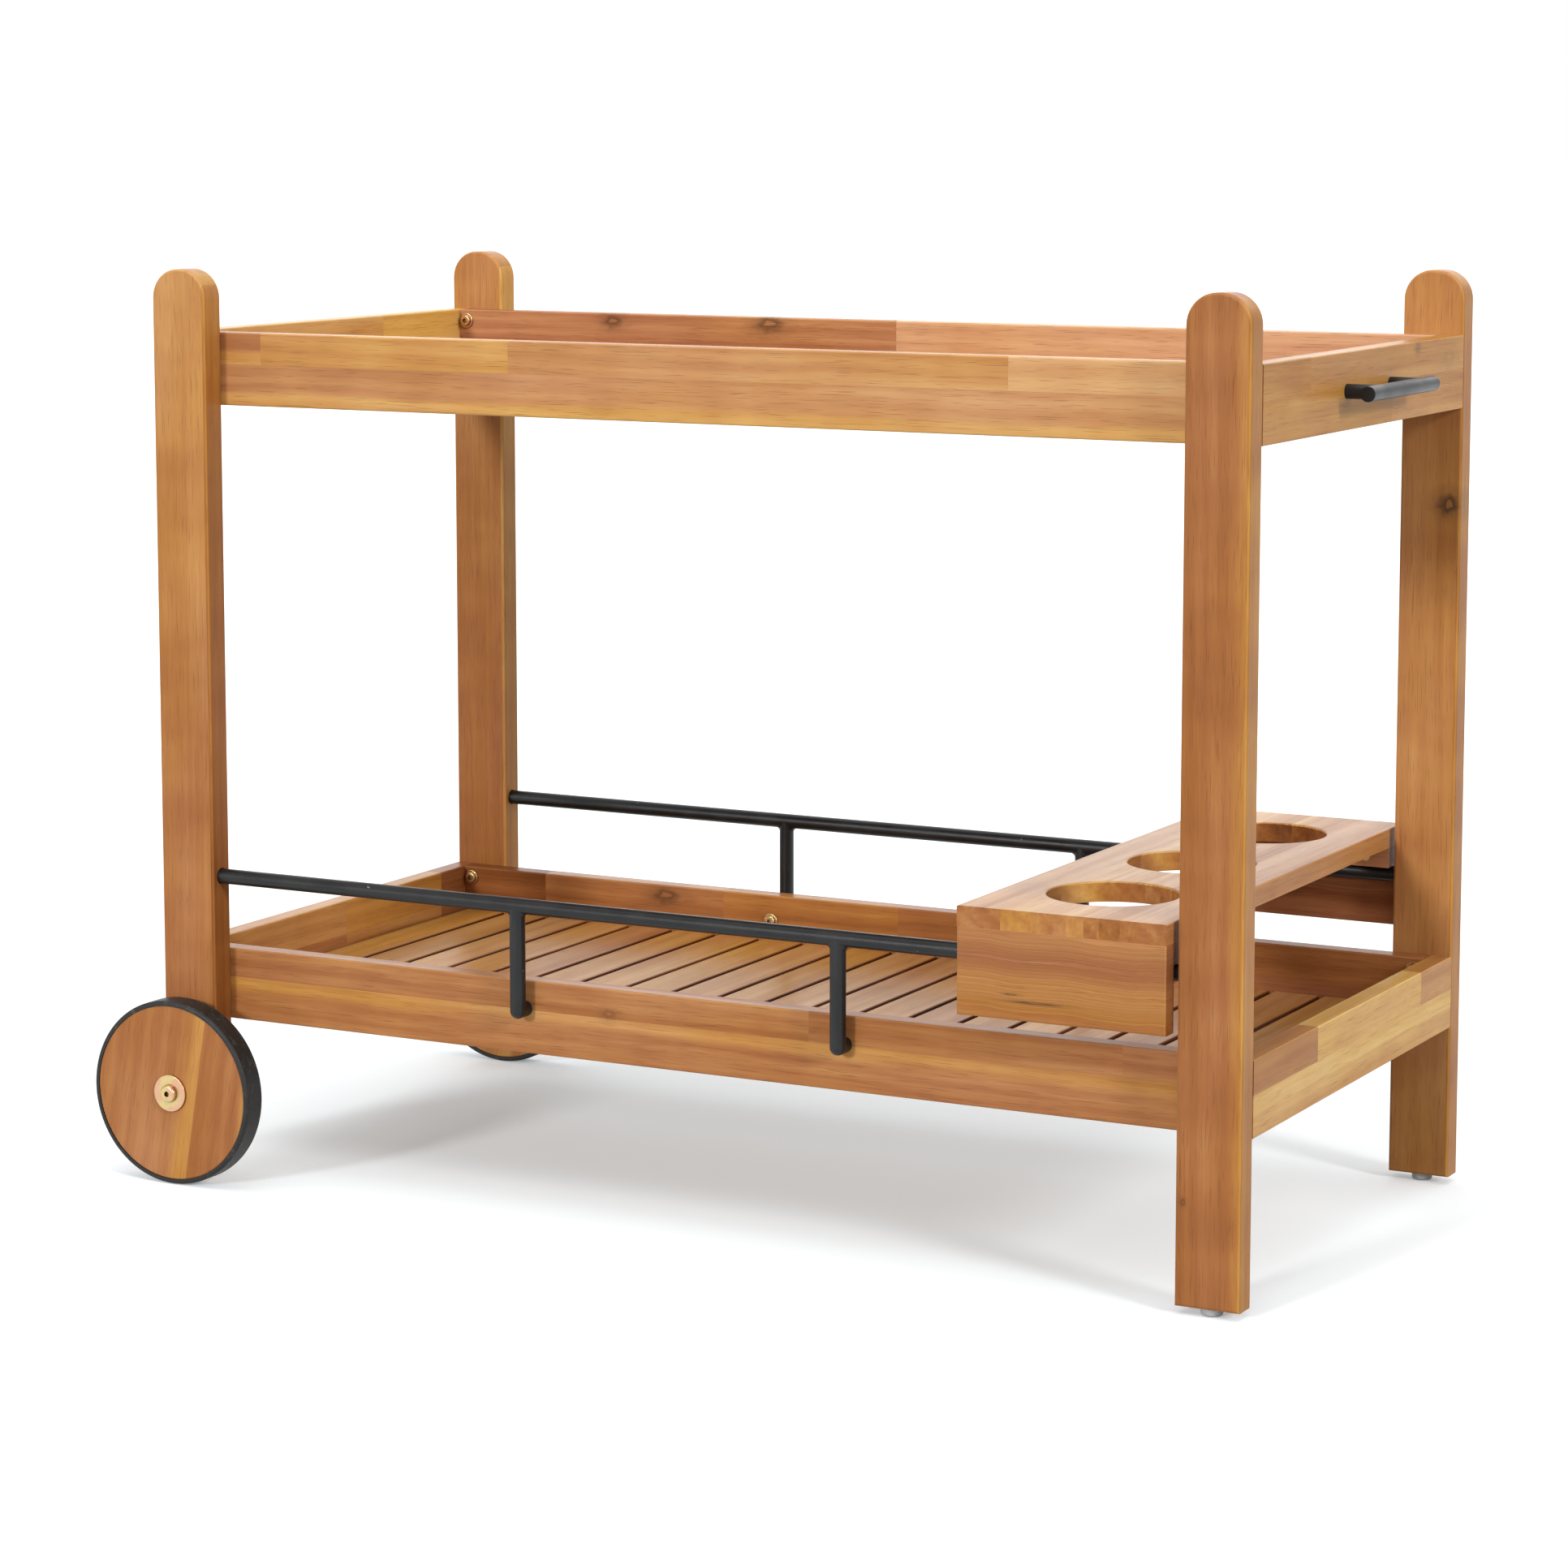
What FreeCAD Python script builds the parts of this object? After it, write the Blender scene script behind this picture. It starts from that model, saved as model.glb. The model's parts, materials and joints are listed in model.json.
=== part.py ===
import FreeCAD, Part
import math
import os

# An outdoor serving cart of oiled hardwood. Two slatted trays are bolted between four
# plank posts. The left posts carry wooden wheels with rubber tyres, the right posts stand
# on glides, and a pull handle is on the right end. A tube guard rail runs along each long
# side above the lower tray, and a three-bottle rack saddles both rails and slides on them.
# X runs along the cart (wheels at -X, handle at +X), the front is -Y, and +Z is up.
# The origin is on the floor under the middle of the whole cart. Sizes are millimetres.

# Frame over the posts
cart_height = 760.0
posts_length = 968.0
posts_depth = 487.0

# Posts, with their wide faces to the front and the back
post_width = 52.0
post_thick = 23.5
post_edge_round = 2.5
wheel_post_drop = 36.0
post_top_share = 0.46

# Trays
post_top_rise = 52.0
lower_tray_base = 133.5
rail_height = 60.0
rail_thick = 18.0
rail_edge_round = 1.5
ledger_rise = 1.0
ledger_height = 9.0
ledger_width = 16.0
batten_width = 30.0
slat_pitch = 44.4
slat_gap = 4.4
slat_thick = 10.0
slat_edge_round = 1.5
slat_end_gap = 0.5

# Bolts through the trays' rails, with their washers and threaded inserts
bolt_diameter = 6.0
bolt_head_diameter = 9.5
bolt_head_height = 2.4
bolt_head_round = 0.8
bolt_socket_width = 4.0
bolt_socket_depth = 1.7
bolt_hole_clearance = 0.3
bolt_washer_diameter = 13.5
bolt_washer_thick = 1.6
bolt_washer_round = 0.5
corner_bolt_drop = 10.0
corner_bolt_reach = 14.0
insert_diameter = 9.0
insert_length = 15.0
thread_clearance = 0.1

# Dowels in the posts and the tray corners
dowel_diameter = 8.0
dowel_reach = 13.0
glue_gap = 0.05
corner_dowel_share = 0.18
end_dowel_shares = (0.40, 0.62)

# Guard rails of round tube
guard_tube_diameter = 12.7
guard_tube_wall = 1.2
guard_rise = 63.0
guard_socket_depth = 12.0
guard_socket_clearance = 0.4
guard_leg_spacing = 289.0
guard_foot_rise = 37.0
guard_bolt_reach = 10.0

# Bottle rack
rack_width = 171.0
rack_board_thick = 16.0
rack_panel_thick = 16.0
rack_panel_height = 68.0
rack_cleat_width = 17.5
rack_cleat_height = 17.0
rack_edge_round = 1.5
rack_rest_gap = 4.5
rack_seat_clearance = 0.2
rack_side_clearance = 0.4
bottle_hole_diameter = 102.5
bottle_hole_round = 1.5
bottle_pitch_share = 0.3065
bottle_places = (-1, 0, 1)
rack_screw_diameter = 4.0
rack_screw_head_diameter = 7.6
rack_screw_reach = 10.0
rack_dowel_diameter = 6.0
rack_dowel_reach = 10.0
rack_screw_shares = (0.12, 0.5, 0.88)
rack_dowel_shares = (0.3, 0.7)

# Pull handle on the right end of the upper tray
handle_bar_diameter = 12.0
handle_bar_length = 146.0
handle_bar_round = 0.6
handle_hole_spacing = 96.0
handle_projection = 32.0
handle_post_diameter = 11.5
handle_screw_diameter = 4.0
handle_screw_reach = 12.0
handle_screw_head_diameter = 8.0
handle_screw_head_height = 2.6
handle_screw_head_round = 1.0
handle_screw_socket_width = 3.0
handle_screw_socket_depth = 1.5

# Wheels, each turning on a bolt through its post
wheel_diameter = 155.0
wheel_width = 21.0
wheel_edge_round = 1.0
tyre_thick = 4.2
tyre_width = 22.0
tyre_edge_round = 2.4
axle_diameter = 8.0
axle_running_clearance = 0.06
axle_bore_clearance = 0.1
bush_wall = 3.0
wheel_side_gap = 0.3
spacer_length = 8.0
spacer_diameter = 22.0
axle_washer_diameter = 31.0
axle_washer_thick = 2.0
axle_washer_round = 0.5
axle_head_diameter = 14.5
axle_head_height = 4.0
axle_head_round = 1.8
axle_socket_width = 4.5
axle_socket_depth = 2.6
nut_width = 13.0
nut_height = 6.5
nut_collar_diameter = 11.0
nut_collar_height = 2.0
nut_washer_diameter = 17.0
nut_washer_thick = 1.6
axle_tail = 2.0

# Glides under the right posts
glide_diameter = 17.0
glide_height = 6.0
glide_edge_round = 2.0
glide_nail_diameter = 2.6
glide_nail_length = 15.0

# Cuts run this far past the faces that they open
overrun = 1.0
# Two unit directions count as parallel from this dot product
parallel_share = 0.999

V = FreeCAD.Vector
ALONG = V(1, 0, 0)
ACROSS = V(0, 1, 0)
UP = V(0, 0, 1)
FRONT_BACK = {-1: "front", 1: "back"}
LEFT_RIGHT = {-1: "left", 1: "right"}

# Places along the cart, with the origin midway between the wheels' and the handle's ends
wheel_radius = wheel_diameter / 2
wheel_reach = posts_length / 2 - post_width / 2 + wheel_radius
handle_reach = posts_length / 2 + handle_projection
mid_x = (wheel_reach - handle_reach) / 2
post_x = {end: mid_x + end * (posts_length - post_width) / 2 for end in LEFT_RIGHT}
tray_end_x = {end: mid_x + end * posts_length / 2 for end in LEFT_RIGHT}
inner_length = posts_length - 2 * rail_thick

# Places across the cart, as distances from its middle
post_outer = posts_depth / 2
post_inner = post_outer - post_thick
rail_inner = post_inner - rail_thick
guard_y = post_outer - post_thick / 2

# Heights
upper_tray_base = cart_height - post_top_rise - rail_height
floor_base = ledger_rise + ledger_height
guard_radius = guard_tube_diameter / 2
guard_z = lower_tray_base + rail_height + guard_rise
guard_foot_z = lower_tray_base + guard_foot_rise
axle_z = wheel_radius
handle_z = upper_tray_base + rail_height / 2
post_bottom = {-1: axle_z - wheel_post_drop, 1: glide_height}
guard_leg_x = {end: mid_x + end * guard_leg_spacing / 2 for end in LEFT_RIGHT}
tray_bases = {"upper": upper_tray_base, "lower": lower_tray_base}

# The rack hangs outside the guard bars and rests on them
rack_right = post_x[1] - post_width / 2 - rack_rest_gap
rack_left = rack_right - rack_width
rack_panel_inner = guard_y + guard_radius + rack_side_clearance
rack_panel_outer = rack_panel_inner + rack_panel_thick
rack_cleat_inner = rack_panel_inner - rack_cleat_width
rack_cleat_base = guard_z + guard_radius + rack_seat_clearance
rack_board_base = rack_cleat_base + rack_cleat_height
rack_board_top = rack_board_base + rack_board_thick
rack_panel_base = rack_board_base - rack_panel_height
rack_screw_x = [rack_left + share * rack_width for share in rack_screw_shares]
rack_dowel_x = [rack_left + share * rack_width for share in rack_dowel_shares]

# The handle's bar and posts
handle_bar_x = tray_end_x[1] + handle_projection - handle_bar_diameter / 2
handle_post_y = {side: side * handle_hole_spacing / 2 for side in FRONT_BACK}

# The wheel's pieces lie along its axle, as distances from the cart's middle
wheel_inner = post_outer + spacer_length + wheel_side_gap
wheel_outer = wheel_inner + wheel_width
axle_washer_inner = wheel_outer + wheel_side_gap
axle_seat = axle_washer_inner + axle_washer_thick
nut_washer_inner = post_inner - nut_washer_thick
nut_inner = nut_washer_inner - nut_height - nut_collar_height
bush_bore = axle_diameter + 2 * axle_running_clearance
bush_diameter = bush_bore + 2 * bush_wall
rim_diameter = wheel_diameter - 2 * tyre_thick
axle_hole = axle_diameter + 2 * axle_bore_clearance

# Holes that take bolts and screws
bolt_hole = bolt_diameter + 2 * bolt_hole_clearance
bolt_thread = bolt_diameter + 2 * thread_clearance


def block(x_low, x_high, y_low, y_high, z_low, z_high):
    return Part.makeBox(x_high - x_low, y_high - y_low, z_high - z_low, V(x_low, y_low, z_low))


def rod(start, direction, length, diameter):
    return Part.makeCylinder(diameter / 2, length, start, direction)


def hexagon(start, direction, length, width):
    # A hexagonal prism, width across its flats
    side = ALONG if abs(direction.dot(UP)) > parallel_share else UP
    other = direction.cross(side)
    reach = width / math.sqrt(3)
    turns = [math.radians(60 * corner) for corner in range(7)]
    corners = [start + side * (reach * math.cos(a)) + other * (reach * math.sin(a)) for a in turns]
    return Part.Face(Part.makePolygon(corners)).extrude(direction * length)


def straight_edges(shape, axis):
    # The straight edges that run along the axis
    lines = [edge for edge in shape.Edges if isinstance(edge.Curve, Part.Line)]
    return [edge for edge in lines if abs(edge.tangentAt(edge.FirstParameter).dot(axis)) > parallel_share]


def rim_edges(shape, diameter):
    # The full circles of one diameter
    circles = [edge for edge in shape.Edges if isinstance(edge.Curve, Part.Circle)]
    return [edge for edge in circles if abs(edge.Curve.Radius * 2 / diameter - 1) < 1 - parallel_share]


def above(edges, height):
    return [edge for edge in edges if edge.CenterOfMass.z > height]


def below(edges, height):
    return [edge for edge in edges if edge.CenterOfMass.z < height]


def eased(shape, edges, radius):
    return shape.makeFillet(radius, edges)


def carved(shape, tools):
    return shape.cut(tools).Solids[0]


def ring(start, direction, length, outer_diameter, inner_diameter):
    outer = rod(start, direction, length, outer_diameter)
    hole = rod(start - direction * overrun, direction, length + 2 * overrun, inner_diameter)
    return carved(outer, hole)


def bolt(seat, direction, length, diameter, head_diameter, head_height, head_round, socket_width,
         socket_depth):
    # A button-head bolt: the direction points from its head to its tip, and the head sits on the seat
    top = seat - direction * head_height
    head = rod(top, direction, head_height, head_diameter)
    rims = rim_edges(head, head_diameter)
    top_rims = [edge for edge in rims if (edge.Curve.Center - top).Length < head_height / 2]
    head = eased(head, top_rims, head_round)
    shank = rod(seat, direction, length, diameter)
    socket = hexagon(top - direction * overrun, direction, socket_depth + overrun, socket_width)
    return carved(head.fuse(shank).removeSplitter(), socket)


def tray_bolt(seat, direction, length):
    return bolt(seat, direction, length, bolt_diameter, bolt_head_diameter, bolt_head_height,
                bolt_head_round, bolt_socket_width, bolt_socket_depth)


def export(node, *solids):
    shape = solids[0] if len(solids) == 1 else Part.makeCompound(list(solids))
    shape.exportStep("parts/" + node + ".step")


def corner_bolt_z(base):
    return base + rail_height - corner_bolt_drop


def corner_dowel_z(base):
    return base + corner_dowel_share * rail_height


def make_post(end, side):
    left = post_x[end] - post_width / 2
    right = post_x[end] + post_width / 2
    bottom = post_bottom[end]
    radius = post_top_share * post_width
    shoulder = cart_height - radius
    bulge = radius * (1 - math.sqrt(0.5))
    face_y = min(side * post_inner, side * post_outer)
    outline = [
        Part.LineSegment(V(right, face_y, bottom), V(right, face_y, shoulder)),
        Part.Arc(V(right, face_y, shoulder), V(right - bulge, face_y, cart_height - bulge),
                 V(right - radius, face_y, cart_height)),
        Part.LineSegment(V(right - radius, face_y, cart_height), V(left + radius, face_y, cart_height)),
        Part.Arc(V(left + radius, face_y, cart_height), V(left + bulge, face_y, cart_height - bulge),
                 V(left, face_y, shoulder)),
        Part.LineSegment(V(left, face_y, shoulder), V(left, face_y, bottom)),
        Part.LineSegment(V(left, face_y, bottom), V(right, face_y, bottom)),
    ]
    plank = Part.Face(Part.Wire([piece.toShape() for piece in outline])).extrude(ACROSS * post_thick)
    crosswise = [edge.hashCode() for edge in straight_edges(plank, ACROSS)]
    outer_edges = [edge for edge in plank.Edges if edge.hashCode() not in crosswise]
    plank = eased(plank, outer_edges, post_edge_round)

    outward = ACROSS * side
    bores = []
    for base in tray_bases.values():
        insert_start = V(post_x[end], side * (post_inner - overrun), corner_bolt_z(base))
        bores.append(rod(insert_start, outward, overrun + insert_length, insert_diameter))
        dowel_start = V(post_x[end], side * (post_inner - overrun), corner_dowel_z(base))
        bores.append(rod(dowel_start, outward, overrun + dowel_reach, dowel_diameter + 2 * glue_gap))
    inner_side = post_x[end] - end * post_width / 2
    socket_start = V(inner_side - end * overrun, side * guard_y, guard_z)
    socket_diameter = guard_tube_diameter + 2 * guard_socket_clearance
    bores.append(rod(socket_start, ALONG * end, overrun + guard_socket_depth, socket_diameter))
    if end == -1:
        axle_start = V(post_x[end], side * (post_inner - overrun), axle_z)
        bores.append(rod(axle_start, outward, post_thick + 2 * overrun, axle_hole))
    else:
        nail_start = V(post_x[end], side * guard_y, bottom - overrun)
        bores.append(rod(nail_start, UP, overrun + glide_nail_length, glide_nail_diameter + 2 * glue_gap))
    return carved(plank, bores)


def end_dowel_places(base):
    # The dowels that join the end rails to the long rails, as (end, side, height)
    return [(end, side, base + share * rail_height)
            for end in LEFT_RIGHT for side in FRONT_BACK for share in end_dowel_shares]


def end_dowel(end, side, height, gap):
    joint_x = tray_end_x[end] - end * rail_thick
    start = V(joint_x - dowel_reach, side * (rail_inner + rail_thick / 2), height)
    return rod(start, ALONG, 2 * dowel_reach, dowel_diameter + 2 * gap)


def corner_dowel(end, side, height, gap):
    start = V(post_x[end], side * post_inner - dowel_reach, height)
    return rod(start, ACROSS, 2 * dowel_reach, dowel_diameter + 2 * gap)


def make_long_rail(tray, side):
    base = tray_bases[tray]
    low_y = min(side * rail_inner, side * post_inner)
    rail = block(mid_x - inner_length / 2, mid_x + inner_length / 2, low_y, low_y + rail_thick,
                 base, base + rail_height)
    rail = eased(rail, straight_edges(rail, ALONG), rail_edge_round)
    outward = ACROSS * side
    bolt_places = [(post_x[end], corner_bolt_z(base)) for end in LEFT_RIGHT]
    if tray == "lower":
        bolt_places += [(x, guard_foot_z) for x in guard_leg_x.values()]
    bores = [rod(V(x, side * (rail_inner - overrun), z), outward, rail_thick + 2 * overrun, bolt_hole)
             for x, z in bolt_places]
    bores += [corner_dowel(end, side, corner_dowel_z(base), glue_gap) for end in LEFT_RIGHT]
    bores += [end_dowel(end, place_side, height, glue_gap)
              for end, place_side, height in end_dowel_places(base) if place_side == side]
    return carved(rail, bores)


def make_end_rail(tray, end):
    base = tray_bases[tray]
    low_x = min(tray_end_x[end], tray_end_x[end] - end * rail_thick)
    rail = block(low_x, low_x + rail_thick, -post_inner, post_inner, base, base + rail_height)
    rail = eased(rail, straight_edges(rail, ACROSS), rail_edge_round)
    bores = [end_dowel(place_end, side, height, glue_gap)
             for place_end, side, height in end_dowel_places(base) if place_end == end]
    if tray == "upper" and end == 1:
        screw_hole = handle_screw_diameter + 2 * bolt_hole_clearance
        bores += [rod(V(low_x - overrun, y, handle_z), ALONG, rail_thick + 2 * overrun, screw_hole)
                  for y in handle_post_y.values()]
    return carved(rail, bores)


def make_bearer(tray, y_low, y_high):
    base = tray_bases[tray] + ledger_rise
    return block(mid_x - inner_length / 2, mid_x + inner_length / 2, y_low, y_high,
                 base, base + ledger_height)


def make_slats(tray):
    base = tray_bases[tray] + floor_base
    count = max(1, round(inner_length / slat_pitch))
    pitch = inner_length / count
    reach = rail_inner - slat_end_gap
    slats = []
    for place in range(count):
        left = mid_x - inner_length / 2 + place * pitch + slat_gap / 2
        slat = block(left, left + pitch - slat_gap, -reach, reach, base, base + slat_thick)
        top_edges = above(straight_edges(slat, ACROSS), base + slat_thick / 2)
        slats.append(eased(slat, top_edges, slat_edge_round))
    return slats


def make_guard_bar(side):
    length = posts_length - 2 * post_width + 2 * guard_socket_depth
    start = V(mid_x - length / 2, side * guard_y, guard_z)
    return ring(start, ALONG, length, guard_tube_diameter, guard_tube_diameter - 2 * guard_tube_wall)


def make_guard_leg(end, side):
    # The tube drops from the bar, turns in at a ball corner and stands off the tray's rail
    x = guard_leg_x[end]
    corner = V(x, side * guard_y, guard_foot_z)
    inward = ACROSS * -side
    upright = rod(corner, UP, guard_z - guard_foot_z, guard_tube_diameter)
    ball = Part.makeSphere(guard_radius, corner)
    foot = rod(corner, inward, guard_y - post_inner, guard_tube_diameter)
    bar = rod(V(x - guard_tube_diameter, side * guard_y, guard_z), ALONG, 2 * guard_tube_diameter,
              guard_tube_diameter)
    hollow_base = corner + UP * guard_tube_diameter
    hollow = rod(hollow_base, UP, guard_z - hollow_base.z, guard_tube_diameter - 2 * guard_tube_wall)
    thread_start = V(x, side * (post_inner - overrun), guard_foot_z)
    thread = rod(thread_start, ACROSS * side, overrun + guard_bolt_reach, bolt_thread)
    return carved(upright.fuse([ball, foot]).removeSplitter(), [bar, hollow, thread])


def make_rail_bolts(places, reach):
    # Bolts from inside a tray, with washers, at (x, side, z)
    bolts = []
    washers = []
    length = bolt_washer_thick + rail_thick + reach
    for x, side, z in places:
        outward = ACROSS * side
        seat = V(x, side * (rail_inner - bolt_washer_thick), z)
        bolts.append(tray_bolt(seat, outward, length))
        washer = ring(seat, outward, bolt_washer_thick, bolt_washer_diameter, bolt_hole)
        washers.append(eased(washer, rim_edges(washer, bolt_washer_diameter), bolt_washer_round))
    return bolts, washers


def corner_places(height_of, bases):
    return [(post_x[end], side, height_of(base))
            for base in bases for end in LEFT_RIGHT for side in FRONT_BACK]


def make_insert(x, side, z):
    start = V(x, side * post_inner, z)
    return ring(start, ACROSS * side, insert_length, insert_diameter, bolt_thread)


def rack_dowel(x, side, gap):
    start = V(x, side * (rack_panel_inner + rack_panel_thick / 2), rack_board_base - rack_dowel_reach)
    return rod(start, UP, 2 * rack_dowel_reach, rack_dowel_diameter + 2 * gap)


def rack_screw(x, side, gap):
    # A countersunk screw from the cleat's inner face into the panel
    outward = ACROSS * side
    start = V(x, side * rack_cleat_inner, rack_cleat_base + rack_cleat_height / 2)
    head_depth = (rack_screw_head_diameter - rack_screw_diameter) / 2
    head = Part.makeCone(rack_screw_head_diameter / 2 + gap, rack_screw_diameter / 2 + gap, head_depth,
                         start, outward)
    shank = rod(start, outward, rack_cleat_width + rack_screw_reach, rack_screw_diameter + 2 * gap)
    return head.fuse(shank).removeSplitter()


def make_rack_board():
    board = block(rack_left, rack_right, -rack_panel_outer, rack_panel_outer, rack_board_base, rack_board_top)
    board_mid = (rack_board_base + rack_board_top) / 2
    board = eased(board, above(straight_edges(board, ACROSS), board_mid), rack_edge_round)
    pitch = bottle_pitch_share * 2 * rack_panel_outer
    centre_x = rack_left + rack_width / 2
    holes = [rod(V(centre_x, place * pitch, rack_board_base - overrun), UP, rack_board_thick + 2 * overrun,
                 bottle_hole_diameter) for place in bottle_places]
    board = carved(board, holes)
    board = eased(board, above(rim_edges(board, bottle_hole_diameter), board_mid), bottle_hole_round)
    return carved(board, [rack_dowel(x, side, glue_gap) for x in rack_dowel_x for side in FRONT_BACK])


def make_rack_panel(side):
    low_y = min(side * rack_panel_inner, side * rack_panel_outer)
    panel = block(rack_left, rack_right, low_y, low_y + rack_panel_thick, rack_panel_base, rack_board_base)
    low_edges = below(straight_edges(panel, ALONG), (rack_panel_base + rack_board_base) / 2)
    panel = eased(panel, low_edges + straight_edges(panel, UP), rack_edge_round)
    bores = [rack_dowel(x, side, glue_gap) for x in rack_dowel_x]
    bores += [rack_screw(x, side, glue_gap) for x in rack_screw_x]
    return carved(panel, bores)


def make_rack_cleat(side):
    low_y = min(side * rack_cleat_inner, side * rack_panel_inner)
    cleat = block(rack_left, rack_right, low_y, low_y + rack_cleat_width, rack_cleat_base, rack_board_base)
    return carved(cleat, [rack_screw(x, side, glue_gap) for x in rack_screw_x])


def make_handle_bar():
    start = V(handle_bar_x, -handle_bar_length / 2, handle_z)
    bar = rod(start, ACROSS, handle_bar_length, handle_bar_diameter)
    return eased(bar, rim_edges(bar, handle_bar_diameter), handle_bar_round)


def make_handle_post(side):
    y = handle_post_y[side]
    base = V(tray_end_x[1], y, handle_z)
    post = rod(base, ALONG, handle_bar_x - tray_end_x[1], handle_post_diameter)
    saddle = rod(V(handle_bar_x, y - handle_bar_diameter, handle_z), ACROSS, 2 * handle_bar_diameter,
                 handle_bar_diameter)
    thread_diameter = handle_screw_diameter + 2 * thread_clearance
    thread = rod(base - ALONG * overrun, ALONG, overrun + handle_screw_reach, thread_diameter)
    return carved(post, [saddle, thread])


def make_handle_screw(side):
    seat = V(tray_end_x[1] - rail_thick, handle_post_y[side], handle_z)
    return bolt(seat, ALONG, rail_thick + handle_screw_reach, handle_screw_diameter,
                handle_screw_head_diameter, handle_screw_head_height, handle_screw_head_round,
                handle_screw_socket_width, handle_screw_socket_depth)


def make_glide(side):
    # A round pad with a nail up into the post
    foot = V(post_x[1], side * guard_y, 0)
    pad = rod(foot, UP, glide_height, glide_diameter)
    pad = eased(pad, below(rim_edges(pad, glide_diameter), glide_height / 2), glide_edge_round)
    nail = rod(foot + UP * (glide_height / 2), UP, glide_height / 2 + glide_nail_length, glide_nail_diameter)
    return pad.fuse(nail).removeSplitter()


def on_axle(side, distance):
    return V(post_x[-1], side * distance, axle_z)


def make_wheel_disc(side):
    disc = rod(on_axle(side, wheel_inner), ACROSS * side, wheel_width, rim_diameter)
    disc = eased(disc, rim_edges(disc, rim_diameter), wheel_edge_round)
    bore = rod(on_axle(side, wheel_inner - overrun), ACROSS * side, wheel_width + 2 * overrun, bush_diameter)
    return carved(disc, bore)


def make_tyre(side):
    lip = (tyre_width - wheel_width) / 2
    tyre = ring(on_axle(side, wheel_inner - lip), ACROSS * side, tyre_width, wheel_diameter, rim_diameter)
    return eased(tyre, rim_edges(tyre, wheel_diameter), tyre_edge_round)


def make_bush(side):
    return ring(on_axle(side, wheel_inner), ACROSS * side, wheel_width, bush_diameter, bush_bore)


def make_spacer(side):
    return ring(on_axle(side, post_outer), ACROSS * side, spacer_length, spacer_diameter, axle_hole)


def make_axle_washer(side):
    washer = ring(on_axle(side, axle_washer_inner), ACROSS * side, axle_washer_thick,
                  axle_washer_diameter, axle_hole)
    return eased(washer, rim_edges(washer, axle_washer_diameter), axle_washer_round)


def make_axle_bolt(side):
    length = axle_seat - nut_inner + axle_tail
    return bolt(on_axle(side, axle_seat), ACROSS * -side, length, axle_diameter, axle_head_diameter,
                axle_head_height, axle_head_round, axle_socket_width, axle_socket_depth)


def make_nut(side):
    # A lock nut: a hexagon with a round collar on its free end
    prism = hexagon(on_axle(side, nut_washer_inner), ACROSS * -side, nut_height, nut_width)
    collar_start = on_axle(side, nut_washer_inner - nut_height)
    collar = rod(collar_start, ACROSS * -side, nut_collar_height, nut_collar_diameter)
    bore = rod(on_axle(side, post_inner), ACROSS * -side, post_inner - nut_inner + overrun, axle_hole)
    return carved(prism.fuse(collar).removeSplitter(), bore)


def make_nut_washer(side):
    return ring(on_axle(side, nut_washer_inner), ACROSS * side, nut_washer_thick,
                nut_washer_diameter, axle_hole)


os.makedirs("parts", exist_ok=True)

for end, end_name in LEFT_RIGHT.items():
    for side, side_name in FRONT_BACK.items():
        export("post_" + side_name + "_" + end_name, make_post(end, side))

for tray in tray_bases:
    for side, side_name in FRONT_BACK.items():
        export(tray + "_rail_" + side_name, make_long_rail(tray, side))
        ledger_low = min(side * rail_inner, side * (rail_inner - ledger_width))
        export(tray + "_ledger_" + side_name, make_bearer(tray, ledger_low, ledger_low + ledger_width))
    for end, end_name in LEFT_RIGHT.items():
        export(tray + "_end_" + end_name, make_end_rail(tray, end))
    export(tray + "_batten", make_bearer(tray, -batten_width / 2, batten_width / 2))
    export(tray + "_slats", *make_slats(tray))
    tray_corners = corner_places(corner_bolt_z, [tray_bases[tray]])
    bolts, washers = make_rail_bolts(tray_corners, corner_bolt_reach)
    export(tray + "_corner_bolts", *bolts)
    export(tray + "_corner_washers", *washers)

all_bases = tray_bases.values()
export("corner_inserts", *[make_insert(*place) for place in corner_places(corner_bolt_z, all_bases)])
export("corner_dowels", *[corner_dowel(end, side, corner_dowel_z(base), 0)
                          for base in all_bases for end in LEFT_RIGHT for side in FRONT_BACK])
export("end_dowels", *[end_dowel(*place, 0) for base in all_bases for place in end_dowel_places(base)])

leg_places = [(x, side, guard_foot_z) for x in guard_leg_x.values() for side in FRONT_BACK]
leg_bolts, leg_washers = make_rail_bolts(leg_places, guard_bolt_reach)
export("guard_leg_bolts", *leg_bolts)
export("guard_leg_washers", *leg_washers)
for side, side_name in FRONT_BACK.items():
    export("guard_bar_" + side_name, make_guard_bar(side))
    for end, end_name in LEFT_RIGHT.items():
        export("guard_leg_" + side_name + "_" + end_name, make_guard_leg(end, side))

export("rack_board", make_rack_board())
for side, side_name in FRONT_BACK.items():
    export("rack_panel_" + side_name, make_rack_panel(side))
    export("rack_cleat_" + side_name, make_rack_cleat(side))
export("rack_screws", *[rack_screw(x, side, 0) for x in rack_screw_x for side in FRONT_BACK])
export("rack_dowels", *[rack_dowel(x, side, 0) for x in rack_dowel_x for side in FRONT_BACK])

export("handle_bar", make_handle_bar())
for side, side_name in FRONT_BACK.items():
    export("handle_post_" + side_name, make_handle_post(side))
export("handle_screws", *[make_handle_screw(side) for side in FRONT_BACK])

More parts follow.
